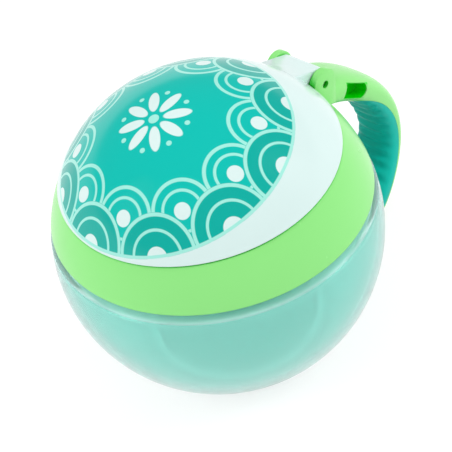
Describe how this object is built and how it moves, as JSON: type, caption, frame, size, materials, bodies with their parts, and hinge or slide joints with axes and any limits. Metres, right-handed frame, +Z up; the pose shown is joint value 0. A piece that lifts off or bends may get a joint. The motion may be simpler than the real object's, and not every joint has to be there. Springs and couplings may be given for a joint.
{
  "type": "snack container",
  "caption": "Round toddler snack container: translucent bowl, screw-on collar with side handle, hinged domed lid and soft slit flaps.",
  "frame": {"origin": "centre of the flat base", "axes": "+Z up along the axis of the bowl and its neck, +X towards the handle"},
  "size_m": [0.1324, 0.1, 0.0916],
  "materials": {
    "bowl_plastic": "translucent gloss moulding",
    "collar_plastic": "gloss moulding",
    "grip_rubber": "soft satin over-moulding",
    "flap_rubber": "soft matt",
    "lid_plastic": "gloss moulding with a printed field",
    "pin_steel": "plain drawn wire"
  },
  "bodies": {
    "bowl": {"bowl": "bowl_plastic"},
    "insert": {"flap_insert": "flap_rubber"},
    "collar": {"collar": "collar_plastic", "handle_grip": "grip_rubber", "hinge_pin": "pin_steel"},
    "lid": {"lid": "lid_plastic"}
  },
  "joints": [
    {"name": "thread_lift", "type": "slide", "parent": "bowl", "child": "insert", "axis": [0, 0, 1], "range_m": [0, 0.00675]},
    {"name": "collar_twist", "type": "hinge", "parent": "insert", "child": "collar", "pos_m": [0, 0, 0.06], "axis": [0, 0, 1], "range_deg": [0, 270]},
    {"name": "lid_hinge", "type": "hinge", "parent": "collar", "child": "lid", "pos_m": [0.04285, 0, 0.07014], "axis": [0, 1, 0], "range_deg": [0, 110]}
  ],
  "couplings": [
    {"joint": "thread_lift", "follows": "collar_twist", "m_per_rad": 0.0014324}
  ]
}
